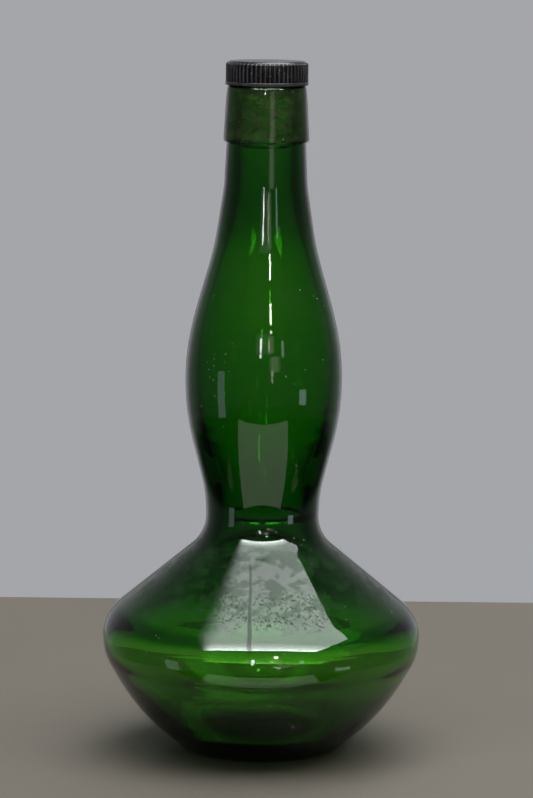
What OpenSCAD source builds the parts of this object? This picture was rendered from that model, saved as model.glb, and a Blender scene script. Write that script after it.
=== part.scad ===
// Green glass bottle with a wide, squat belly, a narrow waist and a long bulbed neck.
// A bar-top stopper closes it: a ribbed plastic head glued to a plain cork.
// Millimetres. The origin is the centre of the foot, on the surface that the bottle
// stands on, and +Z runs up the bottle's axis.
//
// The glass outline is a chain of straight lines that would meet at corners, and each
// corner is rounded by an arc. A corner's radius and height are those of the sharp one.

/* [Foot] */
// Rise of the push-up at the middle of the base
push_up = 5.5; // [2:0.5:8]
// Radius of the push-up's flat middle, before rounding
push_up_r = 9; // [6:0.5:12]
// Inner radius of the ring that the bottle stands on, before rounding
foot_inner_r = 21.5; // [20:0.1:22]
// Radius where the base meets the flank
heel_r = 27.7; // [27:0.1:30]
// Rounding of the heel
heel_round = 11; // [8:0.5:12]

/* [Belly] */
// Radius of the corner half way up the flank
flank_r = 45.5; // [44:0.1:47]
// Height of that corner
flank_z = 15; // [14:0.1:16]
// Rounding of the flank
flank_round = 73; // [60:1:80]
// Radius of the corner where the flank meets the shoulder
belly_r = 61.8; // [60:0.1:64]
// Height of that corner
belly_z = 43.9; // [42:0.1:46]
// Rounding of the belly
belly_round = 17; // [14:0.5:20]

/* [Neck] */
// Radius of the waist, where the shoulder meets the neck
waist_r = 20; // [18:0.1:22]
// Height where the shoulder ends
waist_z = 78.5; // [77:0.1:80]
// Length of the waist, up to where the neck opens out
waist_length = 13.7; // [13:0.1:16]
// Rounding between shoulder and waist
waist_round = 13.3; // [10:0.1:14]
// Rounding between waist and bulb
waist_flare_round = 50; // [20:1:52]
// Radius of the corner at the widest part of the neck
bulb_r = 31; // [29:0.1:33]
// Height of that corner
bulb_z = 134.9; // [132:0.1:138]
// Rounding of the bulb
bulb_round = 90; // [60:1:100]
// Radius at the foot of the taper to the mouth
taper_r = 17.8; // [17:0.1:19]
// Height at the foot of that taper
taper_z = 181.9; // [180:0.1:184]
// Rounding at the foot of the taper
taper_round = 72; // [40:1:80]
// Radius at the foot of the throat
throat_r = 14.6; // [14.2:0.1:15.2]
// Height at the foot of the throat
throat_z = 202.9; // [201:0.1:205]
// Rounding at the foot of the throat
throat_round = 45; // [20:1:60]

/* [Finish band] */
// Radius of the throat just under the band
neck_top_r = 13.8; // [13.4:0.1:14.2]
// Height of the band's lower edge
band_z = 218.6; // [218:0.1:221]
// Radius of the band at its lower edge
band_bottom_r = 15; // [14.6:0.1:15.4]
// Radius of the band at the mouth
band_top_r = 13.9; // [13.5:0.1:14.3]
// Height of the mouth
mouth_z = 238.8; // [237:0.1:241]
// Diameter of the bore that takes the cork
bore_d = 18.5; // [18:0.1:19]

/* [Glass thickness] */
// Glass under the push-up
base_wall = 6; // [4:0.5:8]
// Glass at the lower half of the flank
flank_wall = 3.8; // [3:0.1:4.5]
// Glass where the flank meets the belly
belly_wall = 2.2; // [1.8:0.1:2.8]
// Glass where the belly meets the shoulder
shoulder_wall = 4.2; // [3.4:0.1:4.6]
// Rounding inside the belly
belly_inner_round = 10; // [8:0.5:12]
// Glass at the waist
waist_wall = 5.8; // [5:0.1:6]
// Glass at the bulb
bulb_wall = 3.2; // [2.8:0.1:3.6]

/* [Stopper] */
// Diameter of the head over its plain lip
head_d = 29.4; // [28:0.1:30]
// Height of the head
head_h = 8.5; // [8:0.1:10]
// Height of the plain lip under the ribs
lip_h = 1.2; // [0.8:0.1:1.6]
// Number of ribs round the head
rib_count = 56; // [40:1:70]
// Depth of the grooves between the ribs
rib_depth = 0.5; // [0.3:0.05:0.7]
// Length of cork under the head
cork_reach = 22; // [18:0.5:24]
// Radial gap between the cork and the bore
cork_gap = 0.05; // [0.02:0.01:0.1]
// Depth of the socket in the head
socket_h = 5.6; // [4:0.1:6]
// Thickness of the adhesive between cork and head
glue_h = 0.6; // [0.4:0.1:1]

/* [Hidden] */
$fn = 96;

glass_green = [0.08, 0.26, 0.07, 0.75];
plastic_black = [0.07, 0.07, 0.08];
cork_tan = [0.72, 0.55, 0.36];
glue_amber = [0.85, 0.76, 0.55];

// Largest turn of an arc between two of its points, in degrees.
arc_step = 4;
// Least number of steps in an arc.
arc_least = 3;
// Sides of the turned pieces.
turned_fn = 180;

waist_top_z = waist_z + waist_length;
push_up_round = 24;
foot_round = 2;
floor_r = 29.2;
floor_round = 15;
bore_r = bore_d / 2;
bore_foot_z = 197.9;
bore_round = 70;
band_step = 0.6;
band_root_round = 0.5;
band_round = 1;
mouth_round = 1.2;
mouth_inner_round = 0.8;

cork_r = bore_r - cork_gap;
cork_chamfer = 1;
cork_h = cork_reach + socket_h - glue_h;
socket_gap = 0.1;
socket_r = cork_r + socket_gap;
glue_inset = 0.4;
glue_r = cork_r - glue_inset;
head_r = head_d / 2;
lip_step = 0.15;
lip_edge = 0.2;
rib_crest_r = head_r - lip_step;
rib_chamfer = 0.45;
bevel_h = 0.7;
bevel_w = 1.2;
// Reach of a cutter past the face that it cuts.
past = 1;

// The outside of the glass, from the middle of the push-up to the mouth.
// Each corner is [radius, height, rounding].
outside = [
    [0, push_up, 0],
    [push_up_r, push_up, push_up_round],
    [foot_inner_r, 0, foot_round],
    [heel_r, 0, heel_round],
    [flank_r, flank_z, flank_round],
    [belly_r, belly_z, belly_round],
    [waist_r, waist_z, waist_round],
    [waist_r, waist_top_z, waist_flare_round],
    [bulb_r, bulb_z, bulb_round],
    [taper_r, taper_z, taper_round],
    [throat_r, throat_z, throat_round],
    [neck_top_r, band_z, band_root_round],
    [band_bottom_r, band_z + band_step, band_round],
    [band_top_r, mouth_z, mouth_round]
];

// Places of some of those corners in the list.
FLANK = 4;
BELLY = 5;
WAIST = 6;
WAIST_TOP = 7;
BULB = 8;

// The inside of the glass, from the mouth down to the middle of the floor.
inside = [
    [bore_r, mouth_z, mouth_inner_round],
    [bore_r, bore_foot_z, bore_round],
    inset(BULB, bulb_wall, bulb_wall, bulb_round - bulb_wall),
    inset(WAIST_TOP, waist_wall, waist_wall, waist_flare_round),
    inset(WAIST, waist_wall, waist_wall, waist_round + waist_wall),
    inset(BELLY, belly_wall, shoulder_wall, belly_inner_round),
    inset(FLANK, flank_wall, belly_wall, flank_round - flank_wall),
    [floor_r, base_wall, floor_round],
    [push_up_r, push_up + base_wall, push_up_round],
    [0, push_up + base_wall, 0]
];

// The place of a corner, without its rounding.
function place(corner) = [corner[0], corner[1]];

function unit(v) = v / norm(v);

// Corner i of the outside moved in, by one wall from the line under it and by another
// from the line over it.
function inset(i, wall_under, wall_over, rounding) =
    let (
        under = unit(place(outside[i]) - place(outside[i - 1])),
        over = unit(place(outside[i + 1]) - place(outside[i])),
        shift = (over * wall_under - under * wall_over) / cross(under, over)
    )
    [outside[i][0] + shift[0], outside[i][1] + shift[1], rounding];

// The arc that rounds corner b on the way from corner a to corner c.
function arc(a, b, c) =
    let (
        back = unit(place(a) - place(b)),
        ahead = unit(place(c) - place(b)),
        half = acos(back * ahead) / 2,
        centre = place(b) + unit(back + ahead) * b[2] / sin(half),
        start = place(b) + back * b[2] / tan(half) - centre,
        first = atan2(start[1], start[0]),
        turn = sign(cross(ahead, back)) * (180 - 2 * half),
        steps = max(arc_least, ceil(abs(turn) / arc_step))
    )
    [
        for (k = [0 : steps])
            let (angle = first + turn * k / steps)
            centre + b[2] * [cos(angle), sin(angle)]
    ];

// The points of an outline, with its corners rounded.
function rounded(corners) = [
    for (i = [0 : len(corners) - 1])
        each (
            corners[i][2] == 0
                ? [place(corners[i])]
                : arc(corners[i - 1], corners[i], corners[i + 1])
        )
];

// One rib as [share of the pitch, share of the depth]: groove, flank, crest, flank.
rib_edges = [[0, 0], [0.3, 0], [0.5, 1], [0.8, 1]];

// The outline of the ribs, seen from above.
rib_outline = [
    for (rib = [0 : rib_count - 1], edge = rib_edges)
        let (
            angle = (rib + edge[0]) * 360 / rib_count,
            r = rib_crest_r - rib_depth * (1 - edge[1])
        )
        r * [cos(angle), sin(angle)]
];

module bottle() {
    color(glass_green)
        rotate_extrude($fn = turned_fn)
            polygon(rounded(concat(outside, inside)));
}

// The shape that the head is turned to, before the grooves and the socket are cut.
module head_blank() {
    bevel_z = head_h - bevel_h;
    rotate_extrude($fn = turned_fn)
        polygon([
            [0, 0],
            [rib_crest_r, 0],
            [rib_crest_r, bevel_z - rib_chamfer],
            [rib_crest_r - rib_chamfer, bevel_z],
            [rib_crest_r - rib_chamfer - bevel_w, head_h],
            [0, head_h]
        ]);
}

module head_lip() {
    rotate_extrude($fn = turned_fn)
        polygon([
            [0, 0],
            [head_r - lip_edge, 0],
            [head_r, lip_edge],
            [head_r, lip_h - lip_edge],
            [head_r - lip_edge, lip_h],
            [0, lip_h]
        ]);
}

module stopper_head() {
    color(plastic_black)
        translate([0, 0, mouth_z])
            difference() {
                union() {
                    intersection() {
                        head_blank();
                        linear_extrude(head_h)
                            polygon(rib_outline);
                    }
                    head_lip();
                }
                translate([0, 0, -past])
                    cylinder(r = socket_r, h = socket_h + past);
            }
}

module cork() {
    color(cork_tan)
        translate([0, 0, mouth_z - cork_reach])
            rotate_extrude()
                polygon([
                    [0, 0],
                    [cork_r - cork_chamfer, 0],
                    [cork_r, cork_chamfer],
                    [cork_r, cork_h],
                    [0, cork_h]
                ]);
}

module glue_pad() {
    color(glue_amber)
        translate([0, 0, mouth_z + socket_h - glue_h])
            cylinder(r = glue_r, h = glue_h);
}

bottle();
stopper_head();
cork();
glue_pad();
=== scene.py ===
"""Looks for the green glass bottle and its bar-top stopper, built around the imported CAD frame."""

import math

import bpy
import numpy as np
from mathutils import Matrix, Vector, noise


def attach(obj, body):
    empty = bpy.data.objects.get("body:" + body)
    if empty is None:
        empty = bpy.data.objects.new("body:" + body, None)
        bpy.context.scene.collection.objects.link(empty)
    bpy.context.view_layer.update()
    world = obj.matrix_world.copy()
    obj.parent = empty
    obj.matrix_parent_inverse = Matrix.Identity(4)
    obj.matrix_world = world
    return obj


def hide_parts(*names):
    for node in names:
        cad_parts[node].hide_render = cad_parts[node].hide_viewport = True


MM = 0.001

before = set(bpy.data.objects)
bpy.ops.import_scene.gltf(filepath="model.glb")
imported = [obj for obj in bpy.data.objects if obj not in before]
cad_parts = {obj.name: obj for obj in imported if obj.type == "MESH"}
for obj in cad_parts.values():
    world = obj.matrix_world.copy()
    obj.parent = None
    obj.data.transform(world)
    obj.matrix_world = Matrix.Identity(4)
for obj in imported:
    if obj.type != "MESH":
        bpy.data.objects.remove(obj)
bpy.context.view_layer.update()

# ---------------------------------------------------------------- camera

CAMERA_BACK = 1.1164      # distance in front of the bottle's axis
CAMERA_UP = 0.2922        # height over the surface that the bottle stands on
CAMERA_ASIDE = 0.00106    # shift to the right, which puts the bottle a little left of centre
CAMERA_PITCH = 8.42       # degrees below the horizon
CAMERA_ROLL = 0.63        # degrees, so that the bottle leans a little to the right
CAMERA_LENS = 142.4       # on a 36 mm sensor, along the long side


def make_camera():
    data = bpy.data.cameras.new("camera")
    data.sensor_fit = "AUTO"
    data.sensor_width = 36
    data.lens = CAMERA_LENS
    data.clip_start = 0.01
    data.clip_end = 50
    camera = bpy.data.objects.new("camera", data)
    bpy.context.scene.collection.objects.link(camera)
    look = Matrix.Rotation(math.radians(90 - CAMERA_PITCH), 4, "X")
    roll = Matrix.Rotation(math.radians(CAMERA_ROLL), 4, "Z")
    place = Matrix.Translation((CAMERA_ASIDE, -CAMERA_BACK, CAMERA_UP))
    camera.matrix_world = place @ look @ roll
    bpy.context.scene.camera = camera


make_camera()

# ---------------------------------------------------------------- mesh helpers


def outline_of(node):
    """A turned CAD node's outline as (radius, height) points, from the axis below to the axis above."""
    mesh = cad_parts[node].data
    keys = {}
    for v in mesh.vertices:
        if abs(v.co.y) < 1e-6 and v.co.x > -1e-6:
            keys[v.index] = (round(abs(v.co.x), 6), round(v.co.z, 6))
    near = {}
    for edge in mesh.edges:
        a, b = (keys.get(i) for i in edge.vertices)
        if a and b and a != b:
            near.setdefault(a, set()).add(b)
            near.setdefault(b, set()).add(a)
    here = min((k for k in near if len(near[k]) == 1), key=lambda k: k[1])
    path = [(0, here[1]), here]
    while near[here] - set(path):
        here = (near[here] - set(path)).pop()
        path.append(here)
    return np.array(path + [(0, here[1])])


def filled_in(path, step):
    """The path with points added, so that neighbours are no further apart than step gives for the place."""
    points = [path[0]]
    for a, b in zip(path[:-1], path[1:]):
        parts = max(1, math.ceil(np.linalg.norm(b - a) / step((a + b) / 2)))
        points += [a + (b - a) * k / parts for k in range(1, parts + 1)]
    return np.array(points)


def rounded(corners, parts=4):
    """A path round the corners (radius, height, setback), rounded from a setback before each to one after."""
    places = [np.array(corner[:2], float) for corner in corners]
    points = []
    for i, (here, corner) in enumerate(zip(places, corners)):
        setback = corner[2]
        if setback == 0:
            points.append(here)
            continue
        back = places[i - 1] - here
        ahead = places[i + 1] - here
        start = here + back * setback / np.linalg.norm(back)
        end = here + ahead * setback / np.linalg.norm(ahead)
        for t in np.linspace(0, 1, parts + 1):
            points.append((1 - t) ** 2 * start + 2 * t * (1 - t) * here + t**2 * end)
    return np.array(points)


def outward(path):
    """Unit normals on the right of the path, which point out of the glass where it runs up the outside."""
    along = np.gradient(path, axis=0)
    normals = np.stack([along[:, 1], -along[:, 0]], 1)
    return normals / np.linalg.norm(normals, axis=1)[:, None]


def turned(name, path, angles, shift, normals):
    """A closed turned mesh of a path from axis to axis. Shift moves each ring's points along its normal."""
    rings = len(path) - 2
    count = len(angles)
    r = path[1:-1, :1] + normals[1:-1, :1] * shift[1:-1]
    z = path[1:-1, 1:] + normals[1:-1, 1:] * shift[1:-1]
    co = np.stack([r * np.cos(angles), r * np.sin(angles), z], -1).reshape(-1, 3)
    poles = np.array([[0, 0, path[0, 1]], [0, 0, path[-1, 1]]])
    first = rings * count
    last = first + 1
    top = (rings - 1) * count
    faces = []
    for j in range(count):
        k = (j + 1) % count
        faces.append((first, k, j))
        faces.append((last, top + j, top + k))
    for low in range(0, top, count):
        high = low + count
        for j in range(count):
            k = (j + 1) % count
            faces.append((low + j, low + k, high + k, high + j))
    mesh = bpy.data.meshes.new(name)
    mesh.from_pydata(np.concatenate([co, poles]).tolist(), [], faces)
    mesh.shade_smooth()
    piece = bpy.data.objects.new(name, mesh)
    bpy.context.scene.collection.objects.link(piece)
    return piece


def stand_in_for(piece, node, body):
    """The piece takes the place of a CAD node, on its body."""
    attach(piece, body)
    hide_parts(node)
    return piece


# ---------------------------------------------------------------- glass

SEAM_HEIGHT = 0.16 * MM
SEAM_WIDTH = 0.35 * MM
BASE_SEAM_R = 26 * MM     # ring that the base plate of the mould leaves on the heel
BASE_SEAM_WIDTH = 0.25 * MM
BASE_SEAM_HEIGHT = 0.12 * MM
BASE_TOP = 4 * MM         # height under which the base seam may run
COLUMNS = 192

TAPER_WAVE_Z = 167.8 * MM      # a ring where the wall of the neck bulges by a few hundredths
TAPER_WAVE_LENGTH = 20 * MM
TAPER_WAVE = 0.035 * MM

SEAM_TOP = 237 * MM            # where the mould seams run out under the mouth
SEAM_BOTTOM = 1 * MM           # and over the foot
STILL_FOOT = 8 * MM            # height up to which the outer waves fade in
STILL_BORE = 184 * MM          # height from which the bore is true, for the cork
STILL_FADE = 15 * MM           # and the distance over which the inner waves fade out under it


def glass_step(place):
    """Ring spacing: fine where the base seam runs, coarse over the rest."""
    near_base_seam = place[1] < BASE_TOP and abs(place[0] - BASE_SEAM_R) < 1.2 * MM
    return 0.2 * MM if near_base_seam else 2.5 * MM


def seam_angles():
    """Even angles all round, with extra ones close to the two mould seams on the X sides."""
    even = np.arange(COLUMNS) * 2 * np.pi / COLUMNS
    close = np.radians([-1.1, -0.7, -0.4, -0.2, 0.2, 0.4, 0.7, 1.1])
    return np.sort(np.concatenate([even, close % (2 * np.pi), close + np.pi]))


def clamp(value):
    return min(1.0, max(0.0, value))


def glass_shift(path, angles):
    """How far each point of the glass stands off its true place: seams, and slow waves of blown glass."""
    mouth = int(np.argmax(path[:, 1]))
    shift = np.zeros((len(path), len(angles)))
    off_seam = np.abs(np.sin(angles))
    for i, (r, z) in enumerate(path):
        outside = i < mouth
        if outside:
            seam = SEAM_HEIGHT * clamp((z - SEAM_BOTTOM) / (3 * MM)) * clamp((SEAM_TOP - z) / MM)
            shift[i] += seam * np.exp(-((r * off_seam / SEAM_WIDTH) ** 2))
            taper_wave = (z - TAPER_WAVE_Z) / TAPER_WAVE_LENGTH
            shift[i] -= TAPER_WAVE * math.sin(2 * math.pi * taper_wave) * math.exp(-(taper_wave**2))
            if z < BASE_TOP:
                off_base_seam = (r - BASE_SEAM_R) / BASE_SEAM_WIDTH
                shift[i] += BASE_SEAM_HEIGHT * math.exp(-(off_base_seam**2))
        for j, angle in enumerate(angles):
            at = Vector((r * math.cos(angle), r * math.sin(angle), z))
            if outside:
                wave = noise.noise(Vector((at.x * 60, at.y * 60, z * 45)))
                fine = noise.noise(Vector((at.x * 160 + 7, at.y * 160, z * 110)))
                shift[i, j] += clamp(z / STILL_FOOT) * MM * (0.05 * wave + 0.012 * fine)
            elif z < STILL_BORE:
                calm = clamp((STILL_BORE - z) / STILL_FADE)
                wave = noise.noise(Vector((at.x * 55, at.y * 55 + 3, z * 30)))
                slow = noise.noise(Vector((at.x * 22, at.y * 22 + 9, z * 14)))
                shift[i, j] += calm * MM * (0.22 * wave + 0.35 * slow)
    return shift


def make_glass():
    path = filled_in(outline_of("bottle"), glass_step)
    angles = seam_angles()
    piece = turned("glass_body", path, angles, glass_shift(path, angles), outward(path))
    return stand_in_for(piece, "bottle", "bottle")


# ---------------------------------------------------------------- stopper

RIBS = 56
RIB_COLUMNS = 12
RIB_DEPTH = 0.5 * MM
RIB_PHASE = 0.15          # middle of a groove, as a share of the pitch
LIP_HEIGHT = 1.2 * MM
LIP_STEP = 0.15 * MM      # of the lip beyond the crests of the ribs
SOCKET_R = 9.25 * MM
SOCKET_DEPTH = 5.6 * MM


def node_span(node):
    """Lowest and highest point and largest radius of a CAD node."""
    places = np.array([v.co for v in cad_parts[node].data.vertices])
    return places[:, 2].min(), places[:, 2].max(), np.hypot(places[:, 0], places[:, 1]).max()


def make_head():
    """The moulded head: 56 rounded ribs that run out in a chamfer, over a plain lip with rounded edges."""
    low, high, lip_r = node_span("stopper_head")
    lip_top = low + LIP_HEIGHT
    rib_r = lip_r - LIP_STEP
    socket_top = low + SOCKET_DEPTH
    corners = [
        (0, socket_top, 0),
        (SOCKET_R, socket_top, 0.2 * MM),
        (SOCKET_R, low, 0.3 * MM),
        (lip_r, low, 0.4 * MM),
        (lip_r, lip_top, 0.2 * MM),
        (rib_r - 0.05 * MM, lip_top, 0),
        (rib_r, lip_top + 0.12 * MM, 0),
        (rib_r, high - 2.5 * MM, 0),
        (rib_r, high - 1.0 * MM, 0.15 * MM),
        (rib_r - 0.38 * MM, high - 0.66 * MM, 0.12 * MM),
        (rib_r - 1.6 * MM, high, 0.3 * MM),
        (3 * MM, high, 0),
        (0, high, 0),
    ]
    path = rounded(corners)
    angles = np.arange(RIBS * RIB_COLUMNS) * 2 * np.pi / (RIBS * RIB_COLUMNS)
    across = np.abs(2 * ((angles * RIBS / (2 * np.pi) - RIB_PHASE) % 1) - 1)
    groove = np.clip((across - 0.3) / 0.4, 0, 1)
    groove = groove * groove * (3 - 2 * groove) + 0.12 * across**2
    shift = np.zeros((len(path), len(angles)))
    for i, (r, z) in enumerate(path):
        ribbed = r > rib_r - 1 * MM and z > lip_top - 1e-7 and r < rib_r + 0.01 * MM
        if ribbed:
            run_out = clamp((high - 0.62 * MM - z) / (0.3 * MM))
            shift[i] = -RIB_DEPTH * run_out * groove
    sideways = np.tile([1.0, 0.0], (len(path), 1))
    piece = turned("ribbed_head", path, angles, shift, sideways)
    piece.data.set_sharp_from_angle(angle=math.radians(40))
    return stand_in_for(piece, "stopper_head", "stopper")


def make_cork():
    """The cork, with pits and worn edges that only go inwards, so that it stays clear of the bore."""
    low, high, cork_r = node_span("cork")
    corners = [
        (0, low, 0),
        (cork_r - 1.0 * MM, low, 0.35 * MM),
        (cork_r, low + 1.0 * MM, 0.35 * MM),
        (cork_r, high, 0.2 * MM),
        (0, high, 0),
    ]
    path = filled_in(rounded(corners), lambda place: 0.4 * MM)
    angles = np.arange(180) * np.pi / 90
    shift = np.zeros((len(path), len(angles)))
    for i, (r, z) in enumerate(path):
        for j, angle in enumerate(angles):
            at = Vector((r * math.cos(angle), r * math.sin(angle), z))
            pores = noise.noise(Vector((at.x * 350, at.y * 350, at.z * 900)))
            lenticels = noise.noise(Vector((at.x * 130 + 5, at.y * 130, at.z * 420)))
            grain = noise.noise(at * 1500)
            pits = 0.16 * clamp((lenticels - 0.22) / 0.2) + 0.08 * clamp((pores - 0.3) / 0.2)
            shift[i, j] = -MM * (pits + 0.012 * (1 + grain))
    piece = turned("cork_shank", path, angles, shift, outward(path))
    return stand_in_for(piece, "cork", "stopper")


# ---------------------------------------------------------------- materials


def new_material(name):
    material = bpy.data.materials.new(name)
    material.use_nodes = True
    tree = material.node_tree
    tree.nodes.clear()
    return material, tree


def add(tree, kind, **settings):
    node = tree.nodes.new(kind)
    for key, value in settings.items():
        setattr(node, key, value)
    return node


class Shading:
    """Short ways to build a node tree. Places are in metres, in the frame of the whole object."""

    def __init__(self, name):
        self.material, self.tree = new_material(name)
        self.out = self.node("ShaderNodeOutputMaterial")
        self.place = self.node("ShaderNodeTexCoord").outputs["Object"]

    def node(self, kind, **settings):
        return add(self.tree, kind, **settings)

    def link(self, source, target):
        self.tree.links.new(source, target)

    def feed(self, socket, value):
        if isinstance(value, (int, float)):
            socket.default_value = value
        else:
            self.link(value, socket)

    def math(self, operation, first, second=0.0, third=0.0):
        node = self.node("ShaderNodeMath", operation=operation)
        for socket, value in zip(node.inputs, (first, second, third)):
            self.feed(socket, value)
        return node.outputs[0]

    def product(self, *factors):
        result = factors[0]
        for factor in factors[1:]:
            result = self.math("MULTIPLY", result, factor)
        return result

    def step(self, value, low, high, first=0.0, last=1.0):
        """The value mapped from low...high to first...last, smoothly and held at both ends."""
        node = self.node("ShaderNodeMapRange", interpolation_type="SMOOTHSTEP")
        self.feed(node.inputs["Value"], value)
        for name, number in zip(("From Min", "From Max", "To Min", "To Max"), (low, high, first, last)):
            node.inputs[name].default_value = number
        return node.outputs["Result"]

    def window(self, value, low, high, soft):
        """1 between low and high, falling to 0 over a soft distance outside them."""
        rise = self.step(value, low - soft, low)
        fall = self.step(value, high, high + soft, 1.0, 0.0)
        return self.math("MULTIPLY", rise, fall)

    def stretched(self, scale):
        node = self.node("ShaderNodeVectorMath", operation="MULTIPLY")
        self.link(self.place, node.inputs[0])
        node.inputs[1].default_value = scale
        return node.outputs["Vector"]

    def noise(self, scale, detail=2.0, roughness=0.5):
        """Noise with a scale for each axis, in waves per metre."""
        node = self.node("ShaderNodeTexNoise")
        self.link(self.stretched(scale), node.inputs["Vector"])
        node.inputs["Scale"].default_value = 1
        node.inputs["Detail"].default_value = detail
        node.inputs["Roughness"].default_value = roughness
        return node.outputs["Fac"]

    def dots(self, scale, radius):
        """1 inside round dots about 1 / scale metres apart, whose radius is a share of that distance."""
        node = self.node("ShaderNodeTexVoronoi")
        self.link(self.stretched((scale, scale, scale)), node.inputs["Vector"])
        node.inputs["Scale"].default_value = 1
        return self.step(node.outputs["Distance"], radius * 0.7, radius, 1.0, 0.0)

    def ramp(self, value, stops):
        node = self.node("ShaderNodeValToRGB")
        elements = node.color_ramp.elements
        for element, (position, colour) in zip(elements, (stops[0], stops[-1])):
            element.position = position
            element.color = (*colour, 1)
        for position, colour in stops[1:-1]:
            elements.new(position).color = (*colour, 1)
        self.link(value, node.inputs["Fac"])
        return node.outputs["Color"]

    def tinted(self, cover, under, colour):
        """The colour laid over another with the given cover."""
        node = self.node("ShaderNodeMix", data_type="RGBA")
        factor, below, above = (node.inputs[i] for i in (0, 6, 7))
        self.link(cover, factor)
        self.link(under, below)
        above.default_value = (*colour, 1)
        return node.outputs[2]

    def axes(self):
        """The three coordinates of the place, each on its own."""
        node = self.node("ShaderNodeSeparateXYZ")
        self.link(self.place, node.inputs["Vector"])
        return node.outputs

    def bump(self, height, distance, strength=1.0):
        node = self.node("ShaderNodeBump")
        node.inputs["Strength"].default_value = strength
        node.inputs["Distance"].default_value = distance
        self.link(height, node.inputs["Height"])
        return node.outputs["Normal"]

    def surface(self, **inputs):
        """A Principled shader. Keys are its input names with underscores for spaces."""
        node = self.node("ShaderNodeBsdfPrincipled")
        for key, value in inputs.items():
            socket = node.inputs[key.replace("_", " ")]
            if isinstance(value, tuple):
                socket.default_value = (*value, 1)
            else:
                self.feed(socket, value)
        return node.outputs["BSDF"]

    def over(self, cover, under, shader):
        """The shader laid over another with the given cover."""
        node = self.node("ShaderNodeMixShader")
        self.link(cover, node.inputs["Fac"])
        self.link(under, node.inputs[1])
        self.link(shader, node.inputs[2])
        return node.outputs["Shader"]


DUST_FILM = 0.0025        # cover of the dust film at its thickest
DUST_SPECKS = 0.3
BAND_RESIDUE = 0.035
# Heights between which the marks lie.
SEALED = (220.5 * MM, 237 * MM)
TIDE = (55 * MM, 62 * MM)
DRIED = (59 * MM, 74 * MM)
DRIP = (48 * MM, 71 * MM)
HEEL = (6 * MM, 26 * MM)
# Where the specks lie across the front, and where the drip runs.
TIDE_ACROSS = (-12 * MM, 20 * MM)
DRIP_X = -3.9 * MM


def glass_material():
    """Old green glass, with dust, dark specks, a drip, dried water and a scuffed heel."""
    s = Shading("green_glass")
    x, y, z = s.axes()
    ripple = s.noise((260, 260, 200), 2)
    clear = s.surface(
        Base_Color=(1.0, 1.0, 1.0),
        Transmission_Weight=1.0,
        IOR=1.52,
        Roughness=s.step(s.noise((40, 40, 60), 4), 0.45, 0.75, 0.0, 0.035),
        Normal=s.bump(ripple, 0.012 * MM),
    )

    # Dust: a thin patchy film and small pale specks.
    patches = s.step(s.noise((90, 90, 60), 5, 0.65), 0.45, 0.75)
    specks = s.product(s.dots(450, 0.11), s.step(s.noise((70, 70, 70)), 0.58, 0.64))
    film = s.math("MULTIPLY_ADD", patches, DUST_FILM, s.product(specks, DUST_SPECKS))
    dust = s.surface(Base_Color=(0.5, 0.5, 0.46), Roughness=1.0)
    dusty = s.over(film, clear, dust)

    # Residue of old seals on the band under the head.
    sealed = s.window(z, *SEALED, 1.5 * MM)
    crust = s.step(s.noise((160, 160, 260), 5, 0.7), 0.38, 0.7, 0.2, 1.0)
    residue = s.surface(Base_Color=(0.34, 0.42, 0.13), Roughness=0.8)
    dusty = s.over(s.product(sealed, crust, BAND_RESIDUE), dusty, residue)

    # Dried marks on the shoulder: a tide line of dark specks, and one drip down the front.
    front = s.step(y, -0.005, 0.0, 1.0, 0.0)
    tide = s.window(z, *TIDE, 4 * MM)
    stain = s.step(s.noise((1100, 1100, 900), 2, 0.6), 0.55, 0.62)
    blot = s.step(s.noise((75, 60, 110), 3), 0.38, 0.5)
    wander = s.math("MULTIPLY_ADD", s.noise((0, 0, 130), 2), 1.2 * MM, DRIP_X - 0.6 * MM)
    beside = s.math("ABSOLUTE", s.math("SUBTRACT", x, wander))
    drip_width = s.step(z, 42 * MM, 70 * MM, 0.95 * MM, 0.5 * MM)
    drip = s.step(s.math("DIVIDE", beside, drip_width), 0.55, 1.2, 1.0, 0.0)
    drip = s.product(drip, s.window(z, *DRIP, 2 * MM), front)
    splashed = s.product(s.window(x, *TIDE_ACROSS, 8 * MM), front)
    marks = s.math("MAXIMUM", s.product(tide, stain, blot, splashed, 0.75), s.product(drip, 0.5))
    dirt = s.surface(Base_Color=(0.008, 0.014, 0.006), Roughness=0.7, Specular_IOR_Level=0.05)
    marked = s.over(marks, dusty, dirt)

    # Dried water, which dulls the upper shoulder in patches.
    patch = s.step(s.noise((150, 150, 230), 5, 0.65), 0.46, 0.58)
    dried = s.product(s.window(z, *DRIED, 5 * MM), patch, front, 0.42)
    scale = s.surface(Base_Color=(0.006, 0.02, 0.005), Roughness=0.8, Specular_IOR_Level=0.05)
    marked = s.over(dried, marked, scale)

    # Scuffs where the heel rubs against other bottles.
    paler_zone = s.window(z, *HEEL, 6 * MM)
    scratch = s.step(s.noise((500, 500, 90), 4, 0.7), 0.6, 0.72)
    worn = s.step(s.noise((30, 30, 50), 2), 0.5, 0.7)
    scuffs = s.product(paler_zone, scratch, worn, 0.35)
    chalk = s.surface(Base_Color=(0.6, 0.62, 0.56), Roughness=0.9)
    s.link(s.over(scuffs, marked, chalk), s.out.inputs["Surface"])

    volume = s.node("ShaderNodeVolumeAbsorption")
    volume.inputs["Color"].default_value = (0.46, 0.775, 0.10, 1)
    volume.inputs["Density"].default_value = 1000
    s.link(volume.outputs["Volume"], s.out.inputs["Volume"])
    return s.material


RUB_AND_HIGHLIGHT_OUTER = 0.16 * MM      # distances inside the lip between which the ribs turn grey, partly as rubbing and partly as a painted highlight
RUB_AND_HIGHLIGHT_INNER = 0.3 * MM
TIPS_OVER = 0.7 * MM          # distances under the top between which the ribs end, where the painted highlight is strongest
TIPS_UNDER = 1.0 * MM
# Grey of the rubbed crests, which also serves as their painted highlight.
RUB_AND_HIGHLIGHT_TONE = (0.032, 0.029, 0.032)


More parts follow.
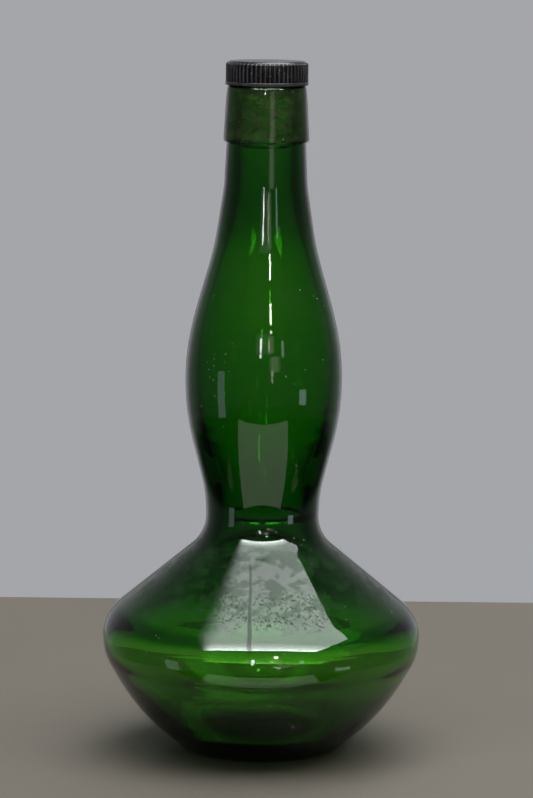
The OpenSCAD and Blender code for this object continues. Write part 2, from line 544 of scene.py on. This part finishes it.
def plastic_material():
    """Black moulded plastic with a low sheen, a little dust, and rib crests and lip painted lighter grey,
    partly as rubbing and partly as a painted highlight.
    """
    s = Shading("black_plastic")
    grime = s.step(s.noise((220, 220, 120), 5, 0.6), 0.4, 0.75)
    tone = s.ramp(grime, [(0.0, (0.001, 0.001, 0.0012)), (1.0, (0.003, 0.0029, 0.0028))])
    rough = s.step(s.noise((400, 400, 700), 4, 0.6), 0.3, 0.7, 0.14, 0.28)
    texture = s.noise((2600, 2600, 1800), 3)

    # The crests of the ribs and the lip are painted lighter grey, partly as rubbing and partly as a painted
    # highlight, and their upper ends most of all.
    x, y, z = s.axes()
    radius = s.math("SQRT", s.math("ADD", s.product(x, x), s.product(y, y)))
    low, high, lip_r = node_span("stopper_head")
    crest_rub_and_highlight = s.step(radius, lip_r - RUB_AND_HIGHLIGHT_INNER, lip_r - RUB_AND_HIGHLIGHT_OUTER)
    tip_rub_and_highlight = s.window(z, high - TIPS_UNDER, high - TIPS_OVER, 0.15 * MM)
    paler_zone = s.math("MULTIPLY_ADD", tip_rub_and_highlight, 0.5, s.product(crest_rub_and_highlight, s.step(grime, 0.0, 1.0, 0.6, 0.4)))
    skin = s.surface(
        Base_Color=s.tinted(paler_zone, tone, RUB_AND_HIGHLIGHT_TONE),
        Roughness=rough,
        IOR=1.5,
        Normal=s.bump(texture, 0.012 * MM, 0.5),
    )
    lint = s.product(s.dots(520, 0.14), s.step(s.noise((110, 110, 110)), 0.5, 0.6), 0.25)
    dust = s.surface(Base_Color=(0.35, 0.34, 0.32), Roughness=1.0)
    s.link(s.over(lint, skin, dust), s.out.inputs["Surface"])
    return s.material


def cork_material():
    """Natural cork: warm tan with a fine grain, darker growth lines and brown pores."""
    s = Shading("cork")
    grain = s.noise((900, 900, 1500), 6, 0.7)
    body = s.ramp(grain, [(0.3, (0.42, 0.25, 0.12)), (0.5, (0.66, 0.46, 0.26)), (0.72, (0.8, 0.62, 0.4))])
    pores = s.step(s.noise((260, 260, 720), 3, 0.6), 0.57, 0.66)
    bands = s.step(s.noise((35, 260, 60), 3), 0.55, 0.7, 0.0, 0.45)
    tone = s.tinted(s.math("MAXIMUM", pores, bands), body, (0.09, 0.045, 0.02))
    height = s.math("SUBTRACT", grain, pores)
    skin = s.surface(Base_Color=tone, Roughness=0.85, Normal=s.bump(height, 0.15 * MM, 0.8))
    s.link(skin, s.out.inputs["Surface"])
    return s.material


def glue_material():
    """Amber hot-melt adhesive, cloudy in places, with a smooth wavy skin."""
    s = Shading("adhesive")
    cloud = s.noise((240, 240, 240), 4)
    tone = s.ramp(cloud, [(0.3, (0.52, 0.36, 0.14)), (0.7, (0.78, 0.66, 0.4))])
    rough = s.step(cloud, 0.3, 0.7, 0.25, 0.5)
    skin = s.surface(Base_Color=tone, Roughness=rough, Normal=s.bump(s.noise((150, 150, 150)), 0.1 * MM))
    s.link(skin, s.out.inputs["Surface"])
    return s.material


def wear(piece, material):
    piece.data.materials.clear()
    piece.data.materials.append(material)


wear(make_glass(), glass_material())
wear(make_head(), plastic_material())
wear(make_cork(), cork_material())
wear(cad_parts["glue_pad"], glue_material())

# ---------------------------------------------------------------- studio

BENCH_LEFT, BENCH_RIGHT = -0.165, 0.165
BENCH_FRONT, BENCH_BACK = -0.088, 0.255
BENCH_THICKNESS = 0.03
BENCH_EDGE = 0.004        # rounding of its edges
BENCH_TONES = ((0.111, 0.093, 0.075), (0.118, 0.1, 0.081))

ROOM = (0.08, 0.083, 0.085, 1)
WALL = (0.375, 0.38, 0.4, 1)
# The room is dim from a little below the horizon down. Heights are sines of the angle over it.
DIM_FROM, DIM_TO = -0.24, -0.36
DIM_LEVEL = 0.15


def make_floor():
    """A plain pale bench top with rounded edges. The bottle stands near its front."""
    mesh = bpy.data.meshes.new("floor")
    front = [(BENCH_LEFT, BENCH_FRONT), (BENCH_RIGHT, BENCH_FRONT)]
    back = [(BENCH_RIGHT, BENCH_BACK), (BENCH_LEFT, BENCH_BACK)]
    places = [(x, y, z) for z in (-BENCH_THICKNESS, 0) for x, y in front + back]
    faces = [(3, 2, 1, 0), (4, 5, 6, 7)]
    faces += [(k, (k + 1) % 4, (k + 1) % 4 + 4, k + 4) for k in range(4)]
    mesh.from_pydata(places, [], faces)
    floor = bpy.data.objects.new("floor", mesh)
    bpy.context.scene.collection.objects.link(floor)
    edges = floor.modifiers.new("edges", "BEVEL")
    edges.width = BENCH_EDGE
    edges.segments = 4
    s = Shading("pale_floor")
    tone = s.ramp(s.noise((9, 9, 9), 3), list(zip((0.35, 0.65), BENCH_TONES)))
    s.link(s.surface(Base_Color=tone, Roughness=0.7), s.out.inputs["Surface"])
    wear(floor, s.material)


def make_panel(name, centre, target, size, radiance, colour=(1, 1, 1)):
    """A soft area light of the given radiance, facing the target."""
    data = bpy.data.lights.new(name, "AREA")
    data.shape = "RECTANGLE"
    data.size, data.size_y = size
    data.energy = radiance * math.pi * size[0] * size[1]
    data.color = colour
    light = bpy.data.objects.new(name, data)
    bpy.context.scene.collection.objects.link(light)
    light.location = centre
    away = Vector(target) - Vector(centre)
    light.rotation_euler = away.to_track_quat("-Z", "Y").to_euler()
    light.visible_camera = False


def make_world():
    """A pale grey wall behind the bottle and a dim room round the rest, by direction, darker below."""
    world = bpy.data.worlds.new("studio")
    bpy.context.scene.world = world
    world.use_nodes = True
    tree = world.node_tree
    tree.nodes.clear()
    out = add(tree, "ShaderNodeOutputWorld")
    back = add(tree, "ShaderNodeBackground")
    where = add(tree, "ShaderNodeTexCoord")
    parts = add(tree, "ShaderNodeSeparateXYZ")
    room = add(tree, "ShaderNodeValToRGB")
    stops = room.color_ramp.elements
    stops[0].position = 0.25
    stops[0].color = ROOM
    stops[1].position = 0.93
    stops[1].color = WALL
    between = stops.new(0.7)
    between.color = [(2 * r + w) / 3 for r, w in zip(ROOM, WALL)]
    link = tree.links.new
    level = add(tree, "ShaderNodeMapRange", interpolation_type="SMOOTHSTEP")
    level.inputs["From Min"].default_value = DIM_TO
    level.inputs["From Max"].default_value = DIM_FROM
    level.inputs["To Min"].default_value = DIM_LEVEL
    link(where.outputs["Generated"], parts.inputs["Vector"])
    link(parts.outputs["Y"], room.inputs["Fac"])
    link(parts.outputs["Z"], level.inputs["Value"])
    link(room.outputs["Color"], back.inputs["Color"])
    link(level.outputs["Result"], back.inputs["Strength"])
    link(back.outputs["Background"], out.inputs["Surface"])


SKY_HEIGHT = 2.0
# The overhead window in two parts, seen from above, as (x, y) corners.
SKY_TOP = (
    (-1.75, -1.16),
    (2.22, -1.16),
    (2.15, -0.3),
    (1.03, 0.45),
    (1.03, 1.5),
    (-0.83, 1.5),
    (-0.83, 0.3),
)
SKY_FRONT = ((-2.4, -2.35), (2.35, -2.35), (2.22, -1.16), (-1.75, -1.16))
# Its radiance by distance along y, from the front to the back.
SKY_GLOW = ((-2.35, 25), (-2.2, 23), (-1.85, 14), (-1.5, 9), (-1.16, 5.6), (1.5, 5))
# It brightens from the line x = slope * y - offset, over a distance to the right of it.
SKY_LEFT_SLOPE = 0.6
SKY_LEFT_OFFSET = 1.01
SKY_LEFT_FADE = 0.55
SKY_LEFT_LEAST = 0.05     # share of its radiance on the line


def sky_material():
    """A glow that is brighter towards the front and fades out along the left edge."""
    s = Shading("sky_glow")
    x, y, z = s.axes()
    front, back = SKY_GLOW[0][0], SKY_GLOW[-1][0]
    along = s.node("ShaderNodeMapRange")
    s.link(y, along.inputs["Value"])
    along.inputs["From Min"].default_value = front
    along.inputs["From Max"].default_value = back
    brightest = SKY_GLOW[0][1]
    stops = []
    for place, glow in SKY_GLOW:
        level = glow / brightest
        stops.append(((place - front) / (back - front), (0.95 * level, level, level)))
    emission = s.node("ShaderNodeEmission")
    inside = s.math("ADD", s.math("MULTIPLY_ADD", y, -SKY_LEFT_SLOPE, x), SKY_LEFT_OFFSET)
    least = SKY_LEFT_LEAST * brightest
    s.link(s.step(inside, 0.0, SKY_LEFT_FADE, least, brightest), emission.inputs["Strength"])
    s.link(s.ramp(along.outputs["Result"], stops), emission.inputs["Color"])
    s.link(emission.outputs["Emission"], s.out.inputs["Surface"])
    return s.material


def make_window(name, outline, material):
    """A flat light at the height of the sky, facing down, that the camera doesn't see."""
    mesh = bpy.data.meshes.new(name)
    face = tuple(reversed(range(len(outline))))
    mesh.from_pydata([(x, y, SKY_HEIGHT) for x, y in outline], [], [face])
    window = bpy.data.objects.new(name, mesh)
    bpy.context.scene.collection.objects.link(window)
    wear(window, material)
    window.visible_camera = False
    return window


def make_sky():
    """The soft window overhead. Its front part doesn't light the floor, so the shade at the foot is deep."""
    glow = sky_material()
    make_window("sky_top", SKY_TOP, glow)
    front = make_window("sky_front", SKY_FRONT, glow)
    unlit = bpy.data.collections.new("unlit_by_sky_front")
    unlit.objects.link(bpy.data.objects["floor"])
    unlit.collection_objects[0].light_linking.link_state = "EXCLUDE"
    front.light_linking.receiver_collection = unlit


CARD_DISTANCE = 4.0
CARD_HEIGHT = 0.185       # cards are aimed at this height on the neck


def make_card(name, sideways, upwards, radiance, colour=(1, 1, 1)):
    """A small soft light over spans of degrees, to the right of the camera and over the horizon."""
    turn = math.radians(sum(sideways) / 2)
    lift = math.radians(sum(upwards) / 2)
    centre = Vector((math.sin(turn) * math.cos(lift), -math.cos(turn) * math.cos(lift), math.sin(lift)))
    width = 2 * CARD_DISTANCE * math.tan(math.radians(sideways[1] - sideways[0]) / 2)
    height = 2 * CARD_DISTANCE * math.tan(math.radians(upwards[1] - upwards[0]) / 2)
    aim = Vector((0, 0, CARD_HEIGHT))
    make_panel(name, aim + CARD_DISTANCE * centre, aim, (width, height), radiance, colour)


WARM = (1, 0.82, 0.62)
CREAM = (1, 0.93, 0.8)
COOL = (0.8, 0.95, 1)
CARDS = (
    ("door_low", (-6.2, -4.2), (4.7, 8.3), 18, (0.95, 0.97, 1)),
    ("door_high", (-6.0, -3.8), (10.2, 15.5), 24, (0.97, 0.98, 1)),
    ("door_haze", (-12, 12), (8, 19), 0.35, (0.95, 1, 0.95)),
    ("post_glow", (8, 25), (-1, 6), 0.35, CREAM),
    ("post_low", (11, 21), (-1, 6), 0.6, CREAM),
    ("post_high", (7, 15), (9, 17), 0.7, CREAM),
    ("warm", (6, 8), (11, 14.5), 5, WARM),
    ("blue", (27.5, 31), (5.5, 12.8), 2.6, COOL),
    ("lamp", (9.5, 12.5), (19.5, 24.7), 30, CREAM),
    ("ground_glint", (11, 14), (-4, 0), 4, CREAM),
    ("left_blue", (-72, -60), (-20, -3), 0.9, COOL),
    ("right_pale", (55, 66), (-16, -10), 2.0, COOL),
)


def make_lights():
    """The overhead window, small cards round the camera, and the glow of the ground in front."""
    make_sky()
    for card in CARDS:
        make_card(*card)
    ground = Vector((0, -1.2, -0.8))
    make_panel("ground", ground, (0, 0, 0.1), (2.2, 0.65), 0.8, (1, 0.96, 0.86))


make_floor()
make_world()
make_lights()

scene = bpy.context.scene
scene.view_settings.view_transform = "Standard"
scene.cycles.max_bounces = 24
scene.cycles.transmission_bounces = 24
scene.cycles.glossy_bounces = 12
